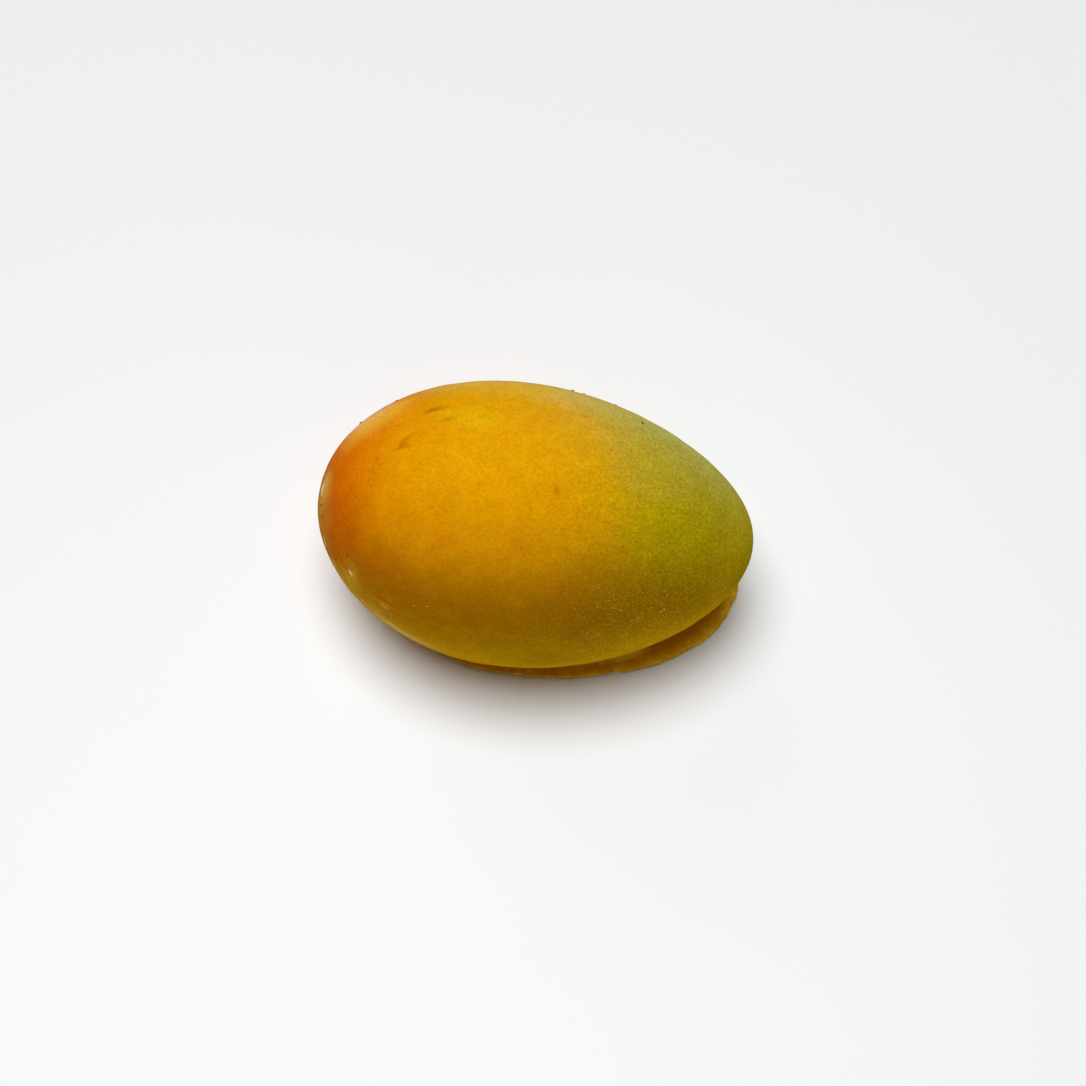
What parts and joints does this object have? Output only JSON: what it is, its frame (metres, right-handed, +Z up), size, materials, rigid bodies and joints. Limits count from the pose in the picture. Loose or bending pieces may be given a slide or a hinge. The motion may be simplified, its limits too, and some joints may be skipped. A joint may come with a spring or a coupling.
{
  "type": "mango-shaped moulded dessert",
  "caption": "Mango-shaped dessert, an egg-shaped body with a sprayed red, gold and green coat, standing on a thin ragged foot of set coating.",
  "frame": {"origin": "middle of the object's box in plan, on the surface that it stands on", "axes": "+Z up, +X along the length towards the narrow green end, -Y towards the side where the foot shows most"},
  "size_m": [0.0988, 0.0646, 0.0519],
  "materials": {
    "sprayed_coating": "fine velvet spray, golden orange, red at the blunt end and green at the narrow end",
    "set_coating": "ochre set coating, smooth with a ragged rim"
  },
  "bodies": {
    "root": {"mango_body": "sprayed_coating", "coating_foot": "set_coating"}
  },
  "joints": []
}
